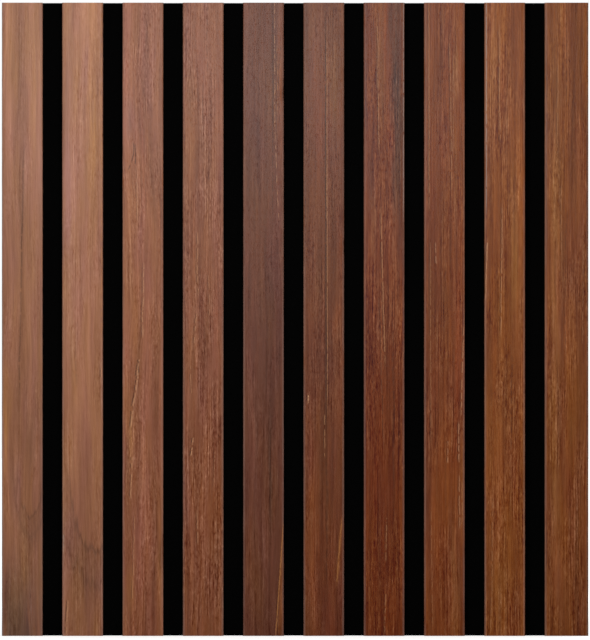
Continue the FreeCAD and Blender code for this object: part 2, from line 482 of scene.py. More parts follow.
def folded_leaf_tree():
    """A flat leaf folded round a core's front and sides, given its thickness, then rubbed and chipped."""
    sizes = ("Left", "Width", "Front", "Depth", "Foot", "Length", "Thickness", "Rounding", "Spacing", "Rub",
             "Seed")
    chip_sizes = ("Chip Height", "Chip Length", "Chip Depth", "Chip Side")
    tree, given, outgoing = new_tree(
        "GeometryNodeTree", "folded_leaf",
        {**dict.fromkeys(sizes + chip_sizes, "Float"), "Steps": "Int", "Rows": "Int",
         "Material": "Material"},
        {"Geometry": "Geometry"})
    left, width, front, depth, foot, length, thickness, rounding, spacing, rub, seed = (
        Signal(given[name]) for name in sizes)
    right = left + width
    back = front + depth
    index = Signal(tree.nodes.new("GeometryNodeInputIndex").outputs[0])
    place = tree.nodes.new("GeometryNodeInputPosition").outputs[0]
    corners = add_node(tree, "GeometryNodeIndexSwitch", {"data_type": "VECTOR"}, index=index)
    corners.index_switch_items.new()
    corners.index_switch_items.new()
    for number, (x, y) in enumerate(((left, back), (left, front), (right, front), (right, back)), start=1):
        feed(corners.inputs[number], vector(tree, x, y, foot))
    fold = add_node(tree, "GeometryNodeMeshLine", count=FOLD_CORNERS).outputs[0]
    fold = step(tree, "GeometryNodeSetPosition", fold, position=corners.outputs[0])
    fold = step(tree, "GeometryNodeMeshToCurve", fold)
    fold = step(tree, "GeometryNodeFilletCurve", fold, {"mode": "POLY"}, count=given["Steps"],
                radius=rounding)
    following = add_node(tree, "GeometryNodeFieldAtIndex", {"data_type": "FLOAT_VECTOR"}, index=index + 1.0)
    feed(following.inputs["Value"], place)
    gap = add_node(tree, "ShaderNodeVectorMath", {"operation": "DISTANCE"})
    feed(gap.inputs[0], place)
    feed(gap.inputs[1], following.outputs[0])
    cuts = (Signal(gap.outputs["Value"]) / spacing).through("FLOOR")
    fold = step(tree, "GeometryNodeSubdivideCurve", fold, cuts=cuts)
    grain_run = vector(tree, 0.0, length * -1.0, 0.0)
    upright = add_node(tree, "GeometryNodeCurvePrimitiveLine", end=grain_run).outputs[0]
    upright = step(tree, "GeometryNodeResampleCurve", upright, count=given["Rows"])
    leaf = step(tree, "GeometryNodeCurveToMesh", fold, profile_curve=upright)
    both = tree.nodes.new("GeometryNodeJoinGeometry")
    tree.links.new(step(tree, "GeometryNodeFlipFaces", leaf), both.inputs[0])
    inside = step(tree, "GeometryNodeExtrudeMesh", leaf, individual=False, offset_scale=thickness)
    tree.links.new(inside, both.inputs[0])
    solid = step(tree, "GeometryNodeMergeByDistance", both.outputs[0], distance=WELD_GAP)
    x, y, z = split(tree, place)
    from_left, from_right, from_front = x - left, right - x, y - front
    from_side = from_left.through("MINIMUM", from_right)
    outer = from_side.through("MINIMUM", from_front).rise(INNER_SKIN, OUTER_SKIN)
    side = (from_left - from_right).through("SIGN")
    to_edge = from_side + from_front
    edge_run = vector(tree, z * RUB_UNEVENNESS, side * SIDES_APART, seed)
    rubbing = noise(tree, edge_run, detail=3.0, roughness=0.6)
    wear_and_highlight = rubbing.rise(-1.0, 2.0) * rub
    beside_chip = ((z - given["Chip Height"]) / given["Chip Length"]).size().rise(0.5, 0.25)
    on_side = (side * given["Chip Side"]).rise(0.2, 0.8)
    nibbled = noise(tree, vector(tree, z * NIBBLES, seed, 0.0)).rise(-2.5, 1.5)
    chip = beside_chip * on_side * nibbled * given["Chip Depth"]
    cut = to_edge.rise(EDGE_FLAT, EDGE_CREST) * (wear_and_highlight + chip) * outer
    formed = step(tree, "GeometryNodeSetPosition", solid, offset=vector(tree, side * cut * -1.0, cut, 0.0))
    finish_shape(tree, formed, outgoing, given["Material"])
    return tree


def use_group(tree, group, **inputs):
    """Places a node group in a tree, with the values of its inputs, and gives what it puts out."""
    node = tree.nodes.new("ShaderNodeGroup")
    node.node_tree = group
    for name, value in inputs.items():
        feed(node.inputs[name.replace("_", " ").title()], value)
    return node.outputs


def leaf_place_group():
    """Finds a point's place on the unfolded leaf: how far across from the left edge, how far down, and how
    far from the nearer front edge."""
    tree, given, outgoing = new_tree(
        "ShaderNodeTree", "leaf_place",
        {"Place": "Vector", "Left": "Float", "Width": "Float", "Top": "Float"},
        {"Across": "Float", "Down": "Float", "Edge": "Float"})
    x, y, z = split(tree, given["Place"])
    from_left = x - given["Left"]
    half = Signal(given["Width"]) * 0.5
    side = (from_left - half).through("SIGN")
    across = from_left + side * (y - front_face)
    feed(outgoing.inputs["Across"], across)
    feed(outgoing.inputs["Down"], Signal(given["Top"]) - z)
    feed(outgoing.inputs["Edge"], (half - (across - half).size()).size())
    return tree


FIBRE_SHARE = 0.75
THREAD_SHARE = 0.55
GLINT_SHARE = 0.8
SOFT_FLECK_SHARE = 0.25
STRANDS_WHERE_SMOOTH = 0.5
FLECKS_WHERE_SMOOTH = 0.2
GREEN_SWING = 1.15
BLUE_SWING = 1.3
RED_OF_HUE = 0.2
GREEN_OF_HUE = 0.4
FIBRE_STAND = 0.3


def figure_group():
    """The wood's figure, all drawn out along the grain: a tint of broad bands and streaks, with painted
    shade that darkens and reddens the leaf towards its foot, to multiply by, the fine grain of threads,
    fibres and short flecks to add, a ragged offset for stripes, and relief."""
    weights = ("Band", "Hue", "Streak", "Fibre", "Fleck", "Wave", "Fade")
    tree, given, outgoing = new_tree(
        "ShaderNodeTree", "veneer_figure",
        {"Across": "Float", "Down": "Float", "Seed": "Float", **dict.fromkeys(weights, "Float")},
        {"Tint": "Color", "Grain": "Float", "Rag": "Float", "Relief": "Float"})
    across, down, seed = (Signal(given[name]) for name in ("Across", "Down", "Seed"))

    def drawn_out(grains_across, grains_down, shift, detail, roughness=0.5):
        """Noise with far more grains to the millimetre across than down."""
        place = vector(tree, across * grains_across, down * grains_down, seed + shift)
        return noise(tree, place, detail, roughness)

    sway = drawn_out(0.05, 0.008, shift=0.0, detail=2.0)
    across = across + sway * given["Wave"]
    band = drawn_out(0.12, 0.006, shift=3.1, detail=1.0)
    hue = drawn_out(0.11, 0.014, shift=5.3, detail=2.0) * given["Hue"]
    streak = drawn_out(0.42, 0.016, shift=7.3, detail=2.0, roughness=0.6)
    rag = drawn_out(0.4, 0.025, shift=9.7, detail=2.0)
    thread = drawn_out(1.5, 0.008, shift=13.9, detail=1.0)
    fibre = drawn_out(1.0, 0.08, shift=11.7, detail=3.0, roughness=0.7)
    fleck = drawn_out(1.3, 0.3, shift=19.9, detail=2.0, roughness=0.6)
    rough_patch = drawn_out(0.1, 0.02, shift=29.3, detail=1.0).rise(-1.5, 1.5)
    pits = fleck.rise(0.7, 2.2)
    glints = fleck.rise(-0.9, -2.2) * GLINT_SHARE
    strands = (fibre * FIBRE_SHARE + thread * THREAD_SHARE) * given["Fibre"]
    strands = strands * (rough_patch + STRANDS_WHERE_SMOOTH)
    flecks = (glints - pits - fleck * SOFT_FLECK_SHARE) * given["Fleck"]
    flecks = flecks * (rough_patch + FLECKS_WHERE_SMOOTH)
    # The last term is painted shade: it darkens and reddens each leaf towards its foot, as the key light
    # falls off.
    broad = band * given["Band"] + streak * given["Streak"] - (down / panel_length - 0.5) * given["Fade"]
    tint = add_node(tree, "ShaderNodeCombineColor", red=(broad + hue * RED_OF_HUE).through("EXPONENT"),
                    green=(broad * GREEN_SWING + hue * GREEN_OF_HUE).through("EXPONENT"),
                    blue=(broad * BLUE_SWING - hue).through("EXPONENT"))
    feed(outgoing.inputs["Tint"], tint.outputs[0])
    feed(outgoing.inputs["Grain"], strands + flecks)
    feed(outgoing.inputs["Rag"], rag)
    feed(outgoing.inputs["Relief"], fibre * FIBRE_STAND - pits)
    return tree


def noise_along(tree, place, detail=1.0, roughness=0.5):
    """Noise as above along a line, where the place is a single number."""
    texture = add_node(tree, "ShaderNodeTexNoise", {"noise_dimensions": "1D"}, w=place, scale=1.0,
                       detail=detail, roughness=roughness)
    return (Signal(texture.outputs[0]) - NOISE_MIDDLE) * NOISE_GAIN


THIN_LINE = 0.9
WIDE_LINE = 2.0
DRIFT_TURNS = 0.03
DRIFT_SHARE = 0.6
JITTER_TURNS = 0.35
JITTER = 0.04
RAG_SHARE = 0.14
BREAKS = 0.2
THIN_FEATHER = 0.12
WIDE_FEATHER = 0.3
SHADOW_OFFSET = 1.4


def grain_line_group():
    """A line or stripe that runs along the grain, with a thin shadow at its left side. A thin one is broken
    and a wide one is ragged, and each reads its own stretch of noise."""
    values = ("Across", "Down", "Rag", "At", "Start", "End", "Width", "Lean", "Wander", "Gaps")
    tree, given, outgoing = new_tree("ShaderNodeTree", "grain_line", dict.fromkeys(values, "Float"),
                                     {"Line": "Float", "Shadow": "Float"})
    across, down, rag, at, start, end, width, lean, wander, gaps = (Signal(given[name]) for name in values)
    along = (down - start) / (end - start)
    thin = width.rise(WIDE_LINE, THIN_LINE)
    wide = width.rise(THIN_LINE, WIDE_LINE)
    own_stretch = at * 5.1 + start * 0.37
    drift = noise_along(tree, down * DRIFT_TURNS + own_stretch) * wander * DRIFT_SHARE
    jitter = noise_along(tree, down * JITTER_TURNS + own_stretch) * thin * JITTER
    offset = (across - at - along * lean - drift - jitter - rag * wide * width * RAG_SHARE) / width
    breaks = noise_along(tree, down * BREAKS - own_stretch, detail=3.0, roughness=0.6)
    broken = breaks.rise(gaps - 1.8, gaps + 0.6)
    feather = wide * WIDE_FEATHER + THIN_FEATHER
    ends = along.rise(0.0, feather) * along.rise(1.0, feather * -1.0 + 1.0) * (broken * thin + wide)
    feed(outgoing.inputs["Line"], offset.size().rise(1.0, 0.0) * ends)
    feed(outgoing.inputs["Shadow"], (offset + SHADOW_OFFSET).size().rise(1.0, 0.0) * ends)
    return tree


RING_RAG = 0.04
FIRST_RIM = 0.07
SECOND_RING = 1.4
SECOND_RIM = 0.1
SECOND_SHARE = 0.6


def grain_arch_group():
    """Rings of the figure that hang round a centre, as where the cut runs along a ring: their dark rims, and
    the shade below the first rim."""
    values = ("Across", "Down", "Rag", "Centre", "Height", "Reach", "Drop")
    tree, given, outgoing = new_tree("ShaderNodeTree", "grain_arch", dict.fromkeys(values, "Float"),
                                     {"Rim": "Float", "Shade": "Float"})
    across, down, rag, centre, height, reach, drop = (Signal(given[name]) for name in values)
    aside = ((across - centre) / reach).through("POWER", 2.0)
    below = ((down - height) / drop).through("POWER", 2.0)
    ring = (aside + below).through("SQRT") + rag * RING_RAG
    hanging = down.rise(height - drop * 0.3, height + drop * 0.5)
    second_rim = (ring - SECOND_RING).size().rise(SECOND_RIM, 0.0)
    rims = (ring - 1.0).size().rise(FIRST_RIM, 0.0) + second_rim * SECOND_SHARE
    feed(outgoing.inputs["Rim"], rims * hanging)
    feed(outgoing.inputs["Shade"], ring.rise(0.85, 1.1) * ring.rise(1.9, 1.3) * hanging)
    return tree


EYE_POWER = 2.2


def lighten(tree, colour, amount):
    """Adds an amount to a colour as the eye sees it, so that its red, green and blue move alike."""
    seen = add_node(tree, "ShaderNodeGamma", color=colour, gamma=1 / EYE_POWER).outputs[0]
    moved = mix_colour(tree, 1.0, seen, amount, "ADD")
    moved.node.clamp_result = True
    return add_node(tree, "ShaderNodeGamma", color=moved, gamma=EYE_POWER).outputs[0]


folded_leaf = folded_leaf_tree()
leaf_place = leaf_place_group()
veneer_figure = figure_group()
grain_line = grain_line_group()
grain_arch = grain_arch_group()

# A line or stripe of the figure: its tint, how far it is from the left edge, how far down it starts and
# ends, its half width, how far it leans across from end to end, how much it wanders, how strong it is and
# how dotted.
Line = namedtuple("Line", "tint at start end width lean wander strength gaps", defaults=(0.0,))
# Rings of the figure: how far their centre is from the left edge and how far down, how far the first one
# reaches to the side and hangs below, and how strong they are.
Arch = namedtuple("Arch", "centre height reach drop strength")
PALE = (0.46, 0.225, 0.115, 1)
TAN = (0.4, 0.185, 0.08, 1)
CHALK = (0.36, 0.28, 0.24, 1)
FLAME = (0.34, 0.115, 0.028, 1)
GOLD = (0.4, 0.165, 0.05, 1)
RUST = (0.24, 0.065, 0.02, 1)
EMBER = (0.2, 0.05, 0.011, 1)
RUSSET = (0.135, 0.028, 0.008, 1)
ROSE = (0.3, 0.14, 0.1, 1)
GREY = (0.085, 0.055, 0.046, 1)
DARK = (0.04, 0.016, 0.009, 1)
SMOKE = (0.085, 0.021, 0.005, 1)
SOOT = (0.06, 0.03, 0.022, 1)
# Pale grey of the painted highlight along the front edges of the leaves.
PAINTED_EDGE_HIGHLIGHT = (0.27, 0.185, 0.16, 1)
STRIPE_WIDTH = 1.5
SHADOW_SHARE = 0.8
ARCH_SHADE_SHARE = 0.5
GRAIN_CONTRAST = 0.15
HIGHLIGHT_PATCHES = 0.03
HIGHLIGHT_REACH = 1.7
HIGHLIGHT_CREST = 0.5
HIGHLIGHT_STRENGTH = 0.3
OIL_GLOSS = 0.11
OIL_ROUGHNESS = 0.35
OIL_UNEVENNESS = 0.03
GRAIN_RELIEF = 0.03


def veneer_material(name, left, width, seed, tone, lines, arches=(), **weights):
    """Oiled wood: the leaf's tone, its arches and broad stripes, the grain over both, then a pale painted
    highlight along the front edges and the thin lines."""
    material, tree, shader, place = new_material(f"oiled_{name}")
    spot = use_group(tree, leaf_place, place=place, left=left, width=width, top=top_end)
    across, down = spot["Across"], spot["Down"]
    figure = use_group(tree, veneer_figure, across=across, down=down, seed=seed, **weights)
    rag = figure["Rag"]

    def draw(colour, mark):
        drawn = use_group(tree, grain_line, across=across, down=down, rag=rag, at=mark.at, start=mark.start,
                          end=mark.end, width=mark.width, lean=mark.lean, wander=mark.wander, gaps=mark.gaps)
        colour = mix_colour(tree, Signal(drawn["Line"]) * mark.strength, colour, mark.tint)
        if mark.tint in (PALE, TAN):
            shadow = Signal(drawn["Shadow"]) * (mark.strength * SHADOW_SHARE)
            colour = mix_colour(tree, shadow, colour, DARK)
        return colour

    colour = (*tone, 1)
    for arch in arches:
        drawn = use_group(tree, grain_arch, across=across, down=down, rag=rag, centre=arch.centre,
                          height=arch.height, reach=arch.reach, drop=arch.drop)
        shade = Signal(drawn["Shade"]) * (arch.strength * ARCH_SHADE_SHARE)
        colour = mix_colour(tree, shade, colour, GREY)
        colour = mix_colour(tree, Signal(drawn["Rim"]) * arch.strength, colour, DARK)
    for mark in lines:
        if mark.width >= STRIPE_WIDTH:
            colour = draw(colour, mark)
    colour = mix_colour(tree, 1.0, colour, figure["Tint"], "MULTIPLY")
    colour = lighten(tree, colour, Signal(figure["Grain"]) * GRAIN_CONTRAST)
    # A pale painted highlight along the front edges, in long patches, for the light that the rounded edges
    # catch.
    highlight_patches = noise(tree, vector(tree, 0.0, Signal(down) * HIGHLIGHT_PATCHES, seed), detail=3.0, roughness=0.6)
    wear_and_highlight = highlight_patches.rise(-4.0, 0.5)
    highlight_at_edge = Signal(spot["Edge"]).rise(HIGHLIGHT_REACH, HIGHLIGHT_CREST)
    colour = mix_colour(tree, highlight_at_edge * wear_and_highlight * HIGHLIGHT_STRENGTH, colour, PAINTED_EDGE_HIGHLIGHT)
    for mark in lines:
        if mark.width < STRIPE_WIDTH:
            colour = draw(colour, mark)
    relief = Signal(figure["Relief"])
    feed(shader.inputs["Base Color"], colour)
    shader.inputs["Specular IOR Level"].default_value = OIL_GLOSS
    feed(shader.inputs["Roughness"], relief * OIL_UNEVENNESS + OIL_ROUGHNESS)
    add_bump(tree, shader, relief, GRAIN_RELIEF)
    return material


# In each leaf below, the last weight on the second line is painted shade that darkens the leaf towards its
# foot.
# Warm tan, with one dark seam and rings that hang near the foot.
leaf_01 = dict(
    tone=(0.267, 0.109, 0.056),
    band=0.07, hue=0.06, streak=0.07, fibre=0.09, fleck=0.13, wave=1.0, fade=0.3,
    arches=[Arch(19.0, 306.0, 8.5, 34.0, 0.26)],
    lines=[
        Line(DARK, 12.8, -40, 105, 2.8, -0.5, 0.3, 0.1),
        Line(GOLD, 5.0, -60, 230, 4.5, 0.0, 0.5, 0.05),
        Line(DARK, 14.6, 84, 275, 1.1, -3.4, 0.25, 0.42, -1.0),
        Line(GOLD, 2.0, 215, 345, 2.2, 0.0, 0.2, 0.35),
        Line(GREY, 19.6, 262, 318, 5.0, 0.0, 0.5, 0.14),
        Line(DARK, 22.5, 325, 372, 4.0, -1.0, 0.5, 0.12),
        Line(GREY, 12.0, 345, 520, 24.0, 0.0, 0.5, 0.6),
        Line(DARK, 2.0, 330, 520, 9.0, 0.0, 0.4, 0.16),
    ])
# The palest leaf, rosy at the left and golden at the right, with wide rings near the foot.
leaf_02 = dict(
    tone=(0.297, 0.12, 0.061),
    band=0.05, hue=0.06, streak=0.06, fibre=0.125, fleck=0.17, wave=0.8, fade=0.38,
    arches=[Arch(24.0, 310.0, 20.0, 54.0, 0.34)],
    lines=[
        Line(ROSE, 4.5, -60, 320, 5.0, 0.0, 0.5, 0.3),
        Line(GOLD, 20.4, -240, 240, 6.5, 1.5, 0.5, 0.4),
        Line(GOLD, 26.2, -30, 240, 0.9, 0.0, 0.1, 0.45),
        Line(PALE, 18.4, 55, 98, 0.54, 0.5, 0.3, 0.26),
        Line(PALE, 20.2, 60, 90, 0.47, 0.3, 0.3, 0.26),
        Line(PALE, 26.2, 238, 249, 0.68, 0.0, 0.1, 0.84),
        Line(DARK, 9.4, 205, 260, 1.4, -0.5, 0.4, 0.22),
        Line(CHALK, 0.8, 352, 366, 0.7, 0.0, 0.05, 0.6),
        Line(PALE, 3.9, 395, 420, 0.74, -0.9, 0.25, 0.72),
        Line(PALE, 0.9, 285, 372, 0.61, 0.0, 0.05, 0.36),
    ])
# Red brown, with a pale split that leans to the left below the middle.
leaf_03 = dict(
    tone=(0.248, 0.086, 0.041),
    band=0.06, hue=0.07, streak=0.09, fibre=0.17, fleck=0.31, wave=1.0, fade=0.2,
    lines=[
        Line(GREY, 4.5, 55, 95, 3.0, 0.0, 0.4, 0.25),
        Line(DARK, 6.4, 92, 112, 0.55, -2.6, 1.0, 0.75, -0.5),
        Line(DARK, 8.8, 93, 110, 0.5, -1.4, 1.0, 0.7, -0.5),
        Line(PALE, 9.4, 108, 146, 0.54, 0.6, 0.3, 0.48),
        Line(PALE, 14.2, 170, 226, 0.68, -0.8, 0.35, 0.6),
        Line(PALE, 11.6, 236, 248, 0.81, -1.8, 0.3, 0.84),
        Line(DARK, 10.4, 237, 246, 0.7, 0.5, 0.3, 0.7),
        Line(PALE, 10.6, 244, 284, 0.81, -5.0, 0.35, 0.78),
        Line(GOLD, 4.8, 265, 312, 3.8, 0.0, 0.4, 0.35),
        Line(PALE, 6.2, 300, 330, 0.68, -0.3, 0.25, 0.66),
        Line(PALE, 8.4, 335, 400, 0.54, -1.6, 0.3, 0.46),
        Line(GOLD, 6.0, 365, 412, 4.5, 0.0, 0.4, 0.32),
        Line(DARK, 25.0, 352, 382, 2.0, 0.0, 0.3, 0.35),
        Line(EMBER, 14.0, 290, 520, 20.0, 0.0, 0.5, 0.24),
    ])
# The roughest leaf, much flecked, with short pale splits.
leaf_04 = dict(
    tone=(0.204, 0.0675, 0.0305),
    band=0.04, hue=0.06, streak=0.08, fibre=0.22, fleck=0.38, wave=0.6, fade=0.3,
    lines=[
        Line(EMBER, 14.0, 230, 520, 20.0, 0.0, 0.5, 0.42),
        Line(DARK, 16.3, -14, 48, 0.5, -0.3, 0.2, 0.4),
        Line(DARK, 14.2, 44, 86, 0.5, -1.2, 0.25, 0.4),
        Line(PALE, 9.7, 150, 196, 0.61, 0.4, 0.35, 0.5),
        Line(PALE, 9.6, 204, 227, 0.61, -2.4, 0.2, 0.54),
        Line(PALE, 7.0, 288, 301, 0.68, -1.4, 0.1, 0.9),
        Line(PALE, 9.8, 336, 360, 0.61, 0.2, 0.3, 0.54),
        Line(PALE, 5.4, 240, 262, 0.54, 0.2, 0.3, 0.42),
        Line(PALE, 17.5, 180, 210, 0.54, 0.2, 0.3, 0.36),
        Line(PALE, 20.8, 296, 322, 0.54, 0.0, 0.3, 0.42),
    ])
# The darkest leaf, with a broken seam at the upper right and a golden sliver at the lower right.
leaf_05 = dict(
    tone=(0.128, 0.0388, 0.0181),
    band=0.06, hue=0.06, streak=0.07, fibre=0.115, fleck=0.13, wave=0.6, fade=0.3,
    lines=[
        Line(DARK, 13.5, 140, 320, 13.0, 0.0, 0.5, 0.28),
        Line(RUST, 24.2, -40, 165, 2.8, 0.5, 0.2, 0.16),
        Line(PALE, 20.7, -14, 96, 0.54, 0.5, 0.15, 0.6, 0.5),
        Line(DARK, 19.2, -14, 150, 0.5, 0.6, 0.15, 0.6, -0.6),
        Line(TAN, 22.6, 20, 92, 0.5, 0.3, 0.3, 0.44, 0.9),
        Line(PALE, 21.2, 86, 146, 0.47, 2.4, 0.15, 0.5, 0.6),
        Line(DARK, 24.0, 12, 84, 0.45, 0.4, 0.4, 0.6, 0.3),
        Line(DARK, 27.0, 50, 66, 0.9, 0.0, 0.1, 0.8),
        Line(DARK, 17.2, 262, 372, 1.8, 1.8, 0.4, 0.38),
        Line(FLAME, 26.6, 335, 450, 2.6, -3.0, 0.2, 0.5),
        Line(GOLD, 27.0, 341, 424, 0.62, -5.6, 0.08, 0.7, -1.0),
    ])
# Dull brown, with a seam down the middle and a golden sliver at the lower right.
leaf_06 = dict(
    tone=(0.137, 0.037, 0.0115),
    band=0.06, hue=0.08, streak=0.08, fibre=0.17, fleck=0.21, wave=0.5, fade=0.16,
    lines=[
        Line(GOLD, 20.0, 15, 100, 4.0, 0.0, 0.4, 0.16),
        Line(ROSE, 6.0, -60, 100, 5.0, 0.0, 0.4, 0.08),
        Line(DARK, 13.0, 110, 280, 14.0, 0.0, 0.5, 0.18),
        Line(RUSSET, 14.0, 290, 520, 20.0, 0.0, 0.5, 0.6),
        Line(DARK, 14.4, -14, 300, 0.6, 0.6, 0.06, 0.75, -1.2),
        Line(TAN, 15.5, 10, 280, 0.52, 0.5, 0.06, 0.5, -0.6),
        Line(TAN, 15.4, 112, 145, 0.54, 0.1, 0.08, 0.4),
        Line(RUST, 4.0, 190, 228, 2.4, 0.0, 0.4, 0.35),
        Line(RUST, 21.7, 192, 228, 3.0, 0.0, 0.4, 0.4),
        Line(PALE, 3.2, 260, 266, 0.68, 0.0, 0.05, 1.0),
        Line(RUST, 7.0, 255, 450, 6.5, 0.0, 0.5, 0.35),
        Line(DARK, 15.5, 285, 405, 1.4, 0.3, 0.3, 0.4),
        Line(TAN, 14.1, 270, 303, 0.54, 0.0, 0.1, 0.5),
        Line(FLAME, 25.8, 335, 392, 1.6, -3.8, 0.12, 0.45),
        Line(GOLD, 25.6, 340, 388, 0.6, -3.8, 0.12, 0.55, -0.5),
    ])
# Red, with a sooty stripe at the upper right and long tan splits.
leaf_07 = dict(
    tone=(0.141, 0.0274, 0.0037),
    band=0.06, hue=0.08, streak=0.1, fibre=0.24, fleck=0.3, wave=0.6, fade=0.2,
    lines=[
        Line(SOOT, 20.2, -90, 190, 6.5, 2.0, 0.3, 0.5),
        Line(DARK, 21.8, -90, 240, 6.5, 3.0, 0.3, 0.34),
        Line(GOLD, 10.0, -80, 116, 5.5, 2.0, 0.3, 0.13),
        Line(CHALK, 26.5, -20, 150, 0.6, 0.0, 0.05, 0.7, -1.0),
        Line(TAN, 9.1, 5, 104, 0.61, 1.1, 0.2, 0.48, -0.5),
        Line(GREY, 4.0, 90, 150, 4.0, 0.0, 0.5, 0.18),
        Line(TAN, 11.0, 130, 245, 0.6, 3.4, 0.15, 0.6, -0.8),
        Line(SMOKE, 13.0, 150, 310, 12.0, 0.0, 0.5, 0.2),
        Line(DARK, 10.2, 190, 300, 0.6, 3.0, 0.2, 0.5, -0.5),
        Line(GOLD, 6.0, 120, 180, 3.0, 0.0, 0.4, 0.2),
        Line(TAN, 15.2, 340, 372, 0.61, -0.5, 0.1, 0.48),
        Line(TAN, 14.7, 389, 420, 0.6, -1.0, 0.1, 0.48),
        Line(DARK, 19.0, 180, 330, 1.0, 1.0, 0.4, 0.25),
    ])
# Red brown, with a fine seam down the left and short pale splits at the lower right.
leaf_08 = dict(
    tone=(0.168, 0.038, 0.0069),
    band=0.06, hue=0.08, streak=0.09, fibre=0.2, fleck=0.25, wave=0.5, fade=0.22,
    lines=[
        Line(TAN, 3.2, -14, 146, 0.51, 0.2, 0.04, 0.56, -1.0),
        Line(TAN, 4.2, 150, 300, 0.51, 0.4, 0.08, 0.4, -0.5),
        Line(TAN, 17.0, 16, 130, 0.6, 1.6, 0.15, 0.48, -0.3),
        Line(TAN, 19.6, 30, 104, 0.5, -0.6, 0.15, 0.4),
        Line(GOLD, 21.0, 25, 70, 3.2, 0.0, 0.3, 0.35),
        Line(GOLD, 20.5, 60, 170, 2.6, 0.5, 0.3, 0.12),
        Line(DARK, 1.5, 262, 380, 4.0, 0.0, 0.3, 0.22),
        Line(GOLD, 25.8, 262, 380, 3.4, 0.0, 0.3, 0.12),
        Line(PALE, 7.7, 158, 174, 0.61, 0.6, 0.4, 0.5),
        Line(PALE, 26.4, 212, 276, 0.61, -1.8, 0.1, 0.6),
        Line(PALE, 22.9, 276, 306, 0.68, 0.2, 0.1, 0.62, -0.3),
        Line(PALE, 15.7, 290, 306, 0.54, 0.0, 0.15, 0.6),
        Line(PALE, 23.2, 312, 350, 0.56, 0.6, 0.25, 0.5, -0.4),
        Line(TAN, 25.2, 316, 349, 0.5, -0.6, 0.3, 0.48, -0.4),
        Line(GOLD, 21.0, 320, 450, 5.5, -1.0, 0.4, 0.22),
        Line(SMOKE, 12.0, 110, 320, 14.0, 0.0, 0.5, 0.4),
        Line(EMBER, 10.0, 300, 500, 12.0, 0.0, 0.5, 0.25),
        Line(TAN, 4.6, 330, 420, 0.5, 1.2, 0.1, 0.32),
    ])
# Golden brown, with a chalky seam and a pale split at the left edge.
leaf_09 = dict(
    tone=(0.188, 0.0485, 0.0073),
    band=0.06, hue=0.09, streak=0.08, fibre=0.26, fleck=0.32, wave=0.4, fade=0.17,
    lines=[
        Line(TAN, 9.8, 10, 98, 0.6, 0.8, 0.15, 0.56, -0.4),
        Line(CHALK, 1.4, -14, 146, 0.5, 0.0, 0.04, 0.55, -0.8),
        Line(PALE, 2.1, 155, 199, 0.66, -1.8, 0.08, 0.9, -1.0),
        Line(TAN, 11.9, 130, 225, 0.6, -0.9, 0.1, 0.64, -0.6),
        Line(SMOKE, 13.0, 190, 350, 12.0, 0.0, 0.5, 0.2),
        Line(GOLD, 10.0, 330, 520, 12.0, 0.0, 0.5, 0.2),
        Line(GOLD, 19.0, 90, 240, 4.0, 1.5, 0.5, 0.25),
        Line(GOLD, 6.0, -20, 80, 3.5, 0.0, 0.4, 0.18),
        Line(DARK, 18.0, 225, 300, 0.9, -0.4, 0.3, 0.35),
        Line(DARK, 2.0, 190, 310, 4.5, 0.0, 0.3, 0.2),
        Line(GOLD, 11.5, 190, 300, 3.0, 0.0, 0.3, 0.1),
        Line(TAN, 6.0, 320, 420, 0.5, -1.6, 0.15, 0.4),
    ])
# Golden brown on the wider end slat, with a gold stripe at the left and a dark one at the right.
leaf_10 = dict(
    tone=(0.171, 0.0455, 0.0083),
    band=0.07, hue=0.09, streak=0.09, fibre=0.22, fleck=0.29, wave=0.5, fade=0.2,
    lines=[
        Line(GOLD, 7.5, -80, 470, 5.5, -0.5, 0.5, 0.26),
        Line(DARK, 14.4, -20, 75, 0.55, 0.2, 0.15, 0.4),
        Line(DARK, 14.8, 130, 235, 0.6, -1.6, 0.3, 0.35),
        Line(DARK, 22.5, -80, 480, 7.0, 0.0, 0.5, 0.14),
        Line(TAN, 8.8, 40, 110, 0.54, -0.4, 0.15, 0.4),
        Line(TAN, 11.0, 120, 170, 0.54, 0.3, 0.15, 0.4),
        Line(DARK, 28.4, -80, 500, 0.8, 0.0, 0.05, 0.5),
        Line(TAN, 25.6, 150, 230, 0.5, -0.4, 0.1, 0.4),
    ])
leaves = [leaf_01, leaf_02, leaf_03, leaf_04, leaf_05, leaf_06, leaf_07, leaf_08, leaf_09, leaf_10]
LEFT = -1.0
RIGHT = 1.0
NO_CHIP = dict(chip_height=0.0, chip_length=1.0, chip_depth=0.0, chip_side=RIGHT)
CHIPS = {
    "slat_veneer_03": dict(chip_height=-153.0, chip_length=24.0, chip_depth=0.4, chip_side=RIGHT),
    "slat_veneer_05": dict(chip_height=152.0, chip_length=16.0, chip_depth=0.45, chip_side=RIGHT),
    "slat_veneer_06": dict(chip_height=49.0, chip_length=12.0, chip_depth=0.4, chip_side=RIGHT),
    "slat_veneer_09": dict(chip_height=30.0, chip_length=40.0, chip_depth=0.4, chip_side=LEFT),
}
FIGURE_SEED_STEP = 5.7
RUB_SEED_STEP = 3.1
for number, (name, leaf) in enumerate(zip(veneer_names, leaves), start=1):
    low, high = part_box(name)
    left = low.x / MILLIMETRE
    width = (high.x - low.x) / MILLIMETRE
    wood = veneer_material(name, left, width, number * FIGURE_SEED_STEP, **leaf)
    make_piece(name.replace("slat_veneer", "veneer_leaf"), folded_leaf, "wood_veneer", name, left=left,
               width=width, front=front_face, depth=slat_depth, foot=foot_end, length=panel_length,
               thickness=LEAF_THICKNESS, rounding=EDGE_ROUNDING, spacing=LEAF_COLUMN_SPACING, rub=EDGE_RUB,
               seed=number * RUB_SEED_STEP, steps=EDGE_STEPS, rows=LEAF_ROWS, material=wood,
               **CHIPS.get(name, NO_CHIP))

